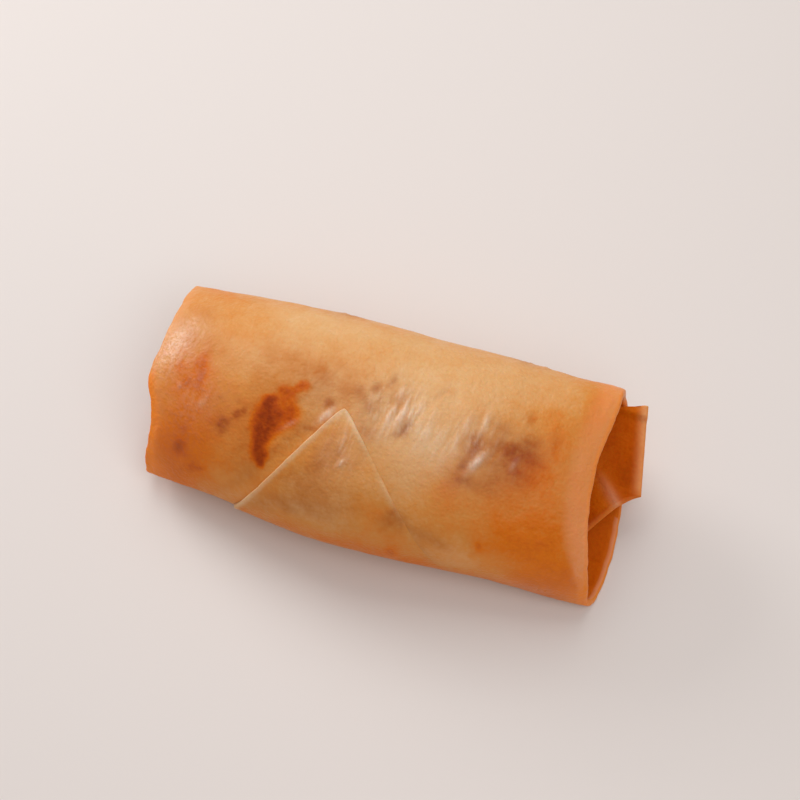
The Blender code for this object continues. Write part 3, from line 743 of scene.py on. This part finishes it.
FIRST_RUN, ROW_CROWDING, COLUMN_CROWDING = 0.02, 1.25, 0.4
FLAP_BROWN, FLAP_MIDDLE = 0.44, 0.4
CUT_WIDTH, CUT_PALER, CUT_HIGHLIGHT, CUT_GLOW = 0.80, 0.32, 0.24, 0.12       # the cut edge: paler, with a painted highlight and a painted glow
FLAP_STRAY, FLAP_STRAY_SIZE = 1.1, 2.6
# Its damp smudges, and zones that are browner or paler than the wrapper beside them.
FLAP_SMUDGES = (
    ((-8.6, 20.5), (2.6, 3.4), 0, 0.60), ((-10.6, 18.4), (1.8, 2.6), 0, 0.35),
    ((-13.5, 13.0), (4.4, 3.2), 40, 0.50), ((-6.0, 11.5), (5.0, 3.6), 0, 0.42),
    ((-13.0, 8.0), (6.0, 2.4), 10, 0.40), ((6.0, 11.0), (2.6, 3.0), -40, 0.75),
    ((-4.4, 19.0), (1.6, 1.6), 0, 0.20), ((-20.0, 5.4), (4.0, 2.4), 40, 0.25),
    ((-3.0, 22.0), (1.2, 1.6), 0, 0.25),
)
FLAP_ZONES = (
    ((-8.0, 15.0), (10.0, 9.0), 0, -0.10), ((-8.6, 27.6), (1.6, 1.6), 0, -0.12),
    ((-24.0, 6.0), (6.0, 4.0), 0, -0.07), ((-14.0, 5.0), (7.0, 3.0), 0, -0.05),
    ((1.0, 11.5), (2.6, 2.6), 0, 0.03), ((-8.0, 7.4), (9.0, 2.4), 0, -0.07),
    ((-1.0, 1.2), (11.0, 2.4), 0, 0.08),
)


def flap_edges(run):
    """The x of the flap's left and right edges at a distance down from its tip."""
    worn = TIP_WIDTH * np.sqrt(1 - (1 - np.clip(run / TIP_LENGTH, 0, 1)) ** 2)
    hanging = np.minimum(run, APEX_ARC - LEFT_TURN_ARC)
    left = APEX_X - worn - LEFT_SPREAD * hanging + LEFT_BEND * hanging ** 2
    right = APEX_X + worn + RIGHT_SPREAD * run - RIGHT_BEND * run ** 2
    return left, right


def flap_ring(row):
    """One closed section across the flap, over its outer face and back under it, and the marks on it."""
    flap_length = APEX_ARC - FLAP_END_ARC
    run = flap_length * (row / FLAP_ROWS) ** ROW_CROWDING + FIRST_RUN
    left, right = flap_edges(run)
    turns = np.linspace(0, math.pi, 2 * EDGE_STEPS + 1)[1:-1]
    over = crowded(np.linspace(-1, 1, FLAP_COLUMNS), COLUMN_CROWDING)
    radius = min(0.5 * DOUGH, 0.4 * (right - left))
    reach = np.concatenate([over, 1 + 0 * turns, over[::-1], -1 + 0 * turns])
    bulge = np.concatenate([0 * over, np.sin(turns), 0 * over, -np.sin(turns)]) * radius
    side = np.concatenate([1 + 0 * over, np.cos(turns), -1 + 0 * over, -np.cos(turns)])
    half = (right - left) / 2 - radius
    inward = (1 - np.abs(reach)) * half

    # Each edge wanders and curls in its own way, so its noise is read far out on its own side.
    arc = APEX_ARC - run + 0 * reach
    apart = 40 * np.sign(reach)
    wander = EDGE_WANDER * sheet_field(apart, arc, WANDER_SIZE, 2, offset=5.0)
    curl = 0.5 + 0.5 * sheet_field(apart, arc, CURL_SIZE, offset=9.0)
    x = (left + right) / 2 + reach * half + bulge
    x = x + wander * np.abs(reach) ** 6 * smooth(run, 0, 4)
    lift = EDGE_LIFT * (0.2 + 1.6 * curl) * np.exp(-inward / EDGE_REACH)
    tail = 1 - smooth(run, flap_length - FLAP_TAIL, flap_length)
    grip = 0.75 * smooth(run, 3, 8) - 0.35 * fading(run - 13, 2.2) + 0.25 * smooth(run, 15, 22)
    stuck = np.where(reach > 0, grip * fading(inward, STUCK_WIDTH), 0)
    top = (DOUGH * (1 - PRESSED_FLAT * stuck) + lift * (1 - stuck)) * tail - TAIL_UNDER * (1 - tail)
    bottom = lift - FLAP_SUNK * smooth(inward, 0.5, 2.4) - FACE_UNDER - STUCK_UNDER * stuck
    height = (top + bottom) / 2 + (top - bottom) / 2 * side

    angle = angle_of(arc)
    s = x / np.abs(np.where(x > 0, lip_x(1, angle), lip_x(-1, angle)))
    base = wrapper(s, angle)
    ring = base + outward(s, angle) * (relief(base, angle) + height)[:, None]
    near_x, near_arc = strayed(x, arc, FLAP_STRAY, FLAP_STRAY_SIZE)
    # The cut edge is paler, with a painted highlight and a painted glow.
    cut_edge = fading(inward, CUT_WIDTH) * (1 - stuck) * (0.6 + 0.4 * curl)
    marks = {"browning": FLAP_BROWN + patches(x, arc, ZONES + FRECKLES + FLAP_ZONES) - CUT_PALER * cut_edge,
             "damp": patches(near_x, near_arc, FLAP_SMUDGES),
             "oil_and_glint": patches(x, arc, OILY_AND_GLINTING),
             "crest": crests(x, arc) + CUT_HIGHLIGHT * cut_edge,
             "edge": CUT_GLOW * cut_edge}
    return ring, marks


sections = [flap_ring(row) for row in range(FLAP_ROWS + 1)]
flap_rings = [ring for ring, marks in sections]
flap = loft("wrapper_flap", flap_rings, [flap_rings[0].mean(0), flap_rings[-1].mean(0)])
for name in ("browning", "damp", "oil_and_glint", "crest", "edge"):
    mark(flap, name, [marks[name] for ring, marks in sections], FLAP_MIDDLE)
flap.data.materials.append(crust)
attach(flap, "root")
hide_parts("spring_roll")

# ---- THE FOLDED-IN LAYERS ------------------------------------------------------------------------------
# The sides of the wrapper, folded in over the filling before rolling, so that their edges stand in both
# mouths. At the right end a doubled layer slipped out past the lips as a tongue with a crease across it.

# Each layer's side, its y from front to back, how far out its edge stands, and its level over the line
# between the corners, both at its front and at its back. Its front corner curls in from one y to another,
# by so many millimetres. It also bows up between front and back, runs askew, and may have a pale edge.
# Along a pale edge a highlight and a glow are painted.
FOLDS = (
    {"name": "tongue", "side": 1, "y": (-14.5, 20.7), "edge": (53.45, 45.7), "curl_from": 5.3,
     "curl_to": -7.0, "curl": 13.3, "level": (-3.77, -1.1), "bow": 0.0, "askew": 0.28, "pale": 1.0},
    {"name": "right_upper_layer", "side": 1, "y": (-15.6, 18.9), "edge": (39.4, 37.4), "curl_from": -8.0,
     "curl_to": -15.0, "curl": 2.0, "level": (2.2, 2.2), "bow": 2.6, "askew": 0.0, "pale": 0.35},
    {"name": "right_lower_layer", "side": 1, "y": (-15.4, 18.4), "edge": (41.0, 38.0), "curl_from": -6.5,
     "curl_to": -15.0, "curl": 2.0, "level": (-3.2, -3.4), "bow": -1.2, "askew": 0.0, "pale": 0.35},
    {"name": "left_lower_layer", "side": -1, "y": (-15.4, 18.6), "edge": (44.6, 44.6), "curl_from": -8.0,
     "curl_to": -15.0, "curl": 2.0, "level": (-1.6, -1.8), "bow": -0.9, "askew": 0.0, "pale": 0.5},
    {"name": "left_upper_layer", "side": -1, "y": (-15.0, 18.2), "edge": (42.0, 42.6), "curl_from": -6.5,
     "curl_to": -15.0, "curl": 2.0, "level": (2.0, 2.2), "bow": 2.2, "askew": 0.0, "pale": 0.3},
)
FOLD_ROOT_X, FOLD_HALF, CURL_POWER = 32.0, 0.55, 0.75
FOLD_ROWS, FOLD_COLUMNS, RIM_STEPS = 140, 44, 12
MOUTH_FILL = 0.88                         # how near the layers come to the walls of a mouth
TONGUE_CREASE = (39.6, 7.8), (44.7, 2.9)  # from and to, as (x, y)
WAVE, WAVE_SIZE, SMALL_WAVE, SMALL_WAVE_SIZE = 0.35, 6.5, 0.10, 2.0
FOLDED_RIM, RIM_IN, RIM_WIDTH = 0.30, 0.9, 0.8           # a low ridge runs along inside a pale edge
RIDGE, RIDGE_WIDTH, TONGUE_DROP, DROP_WIDTH = 0.30, 0.6, 0.9, 5    # the tongue's crease, and before it
# The highlight painted on the tongue's crease: its strength and width, and how much paler and over what
# width.
RIDGE_HIGHLIGHT, RIDGE_HIGHLIGHT_WIDTH, RIDGE_PALER, RIDGE_PALE_WIDTH = 0.30, 0.9, 0.18, 2.2
DEEP_SHADED_BROWN, TONGUE_BROWN, FOLD_MIDDLE = 0.90, 0.76, 0.5  # deep in the mouth, painted browner as shade
# How much paler the strip along a pale edge is painted and how strong its painted highlight, as it faces
# the light; how strong the painted glow of the edge itself, and how pale the back.
STRIP_PALE, STRIP_HIGHLIGHT, EDGE_GLOW, EDGE_WIDTH, BACK_PALER = 0.44, 0.22, 0.5, 0.4, 0.16


def kept_in_mouth(side, y, level):
    """A level over the line between an end's corners, kept between the mouth's floor and roof at y."""
    end = RIGHT if side > 0 else LEFT
    reach = FLOOR_WIDTH * np.where(y < AXIS_Y, end["front"], end["back"])
    open_share = FLOOR_HEIGHT * (1 - np.clip((y - AXIS_Y) / reach, -1, 1) ** 2) ** (end["power"] / 2)
    middle = (end["front_z"] + end["back_z"]) / 2
    roof, floor = end["top_z"] - middle, middle - end["bottom_z"]
    return np.clip(level, -MOUTH_FILL * floor * open_share, MOUTH_FILL * roof * open_share)


def past_crease(x, y):
    """How far a point of the tongue is beyond its crease, toward its far corner."""
    (x0, y0), (x1, y1) = TONGUE_CREASE
    return ((x - x0) * (y0 - y1) - (y0 - y) * (x1 - x0)) / math.hypot(x1 - x0, y0 - y1)


def fold_ring(number, fold, row):
    """One section of a layer, from its root in the mouth out along the top, round its edge and back."""
    side, corner, pale = fold["side"], fold["curl_from"], fold["pale"]
    (near, far), (near_x, far_x), (near_level, far_level) = fold["y"], fold["edge"], fold["level"]
    share = row / FOLD_ROWS
    y = near + (far - near) * share
    edge = near_x + (far_x - near_x) * share
    if y < corner:
        edge -= fold["curl"] * ((corner - y) / (corner - fold["curl_to"])) ** CURL_POWER
    level = near_level + (far_level - near_level) * share + fold["bow"] * 4 * share * (1 - share)
    turns = np.linspace(math.pi / 2, -math.pi / 2, RIM_STEPS)
    flat = np.linspace(FOLD_ROOT_X, edge - FOLD_HALF, FOLD_COLUMNS)[:-1]
    x = np.concatenate([flat, edge - FOLD_HALF + FOLD_HALF * np.cos(turns), flat[::-1]])
    height = np.concatenate([FOLD_HALF + 0 * flat, FOLD_HALF * np.sin(turns), -FOLD_HALF + 0 * flat])
    y = y + fold["askew"] * (x - edge)
    place = np.stack([x, y, 20.0 * number + 0 * x], -1)
    wave = WAVE * field(place, WAVE_SIZE, offset=3.0)
    wave += SMALL_WAVE * field(place, SMALL_WAVE_SIZE, 2, offset=8.0)
    rim = FOLDED_RIM * pale * fading(edge - RIM_IN - x, RIM_WIDTH)
    z = crease_line_z(side, y) + kept_in_mouth(side, y, level) + height + wave + rim

    strip = (1 - smooth(edge - x, 0.3, 2.5)) * (0.25 + 0.75 * smooth(y, corner - 1, corner + 1.5)) * pale
    brown = DEEP_SHADED_BROWN + (TONGUE_BROWN - DEEP_SHADED_BROWN) * pale + 0.06 * field(place, 4.0, 2, offset=21.0)
    marks = {"browning": brown - STRIP_PALE * strip - BACK_PALER * smooth(y, 15, 20.5),
             "edge": EDGE_GLOW * pale * fading(edge - x, EDGE_WIDTH),
             "crest": STRIP_HIGHLIGHT * strip}
    if fold["name"] == "tongue":
        beyond = past_crease(x, y)
        z += RIDGE * fading(beyond, RIDGE_WIDTH) - TONGUE_DROP * smooth(-beyond, 0, DROP_WIDTH)
        # A highlight is painted along the crease, as a crest mark and as paler browning.
        marks["crest"] += RIDGE_HIGHLIGHT * fading(beyond, RIDGE_HIGHLIGHT_WIDTH) * (1 - smooth(y, 2.5, 8.5))
        marks["browning"] -= RIDGE_PALER * fading(beyond + 1.0, RIDGE_PALE_WIDTH)
    return np.stack([side * x, y, z], -1), marks


for number, fold in enumerate(FOLDS):
    sections = [fold_ring(number, fold, row) for row in range(FOLD_ROWS + 1)][::-fold["side"]]
    rings = [ring for ring, marks in sections]
    layer = loft(fold["name"], rings, [rings[0].mean(0), rings[-1].mean(0)])
    for name in ("browning", "edge", "crest"):
        mark(layer, name, [marks[name] for ring, marks in sections], FOLD_MIDDLE)
    layer.data.materials.append(inner_dough)
    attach(layer, "root")
    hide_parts("spring_roll")
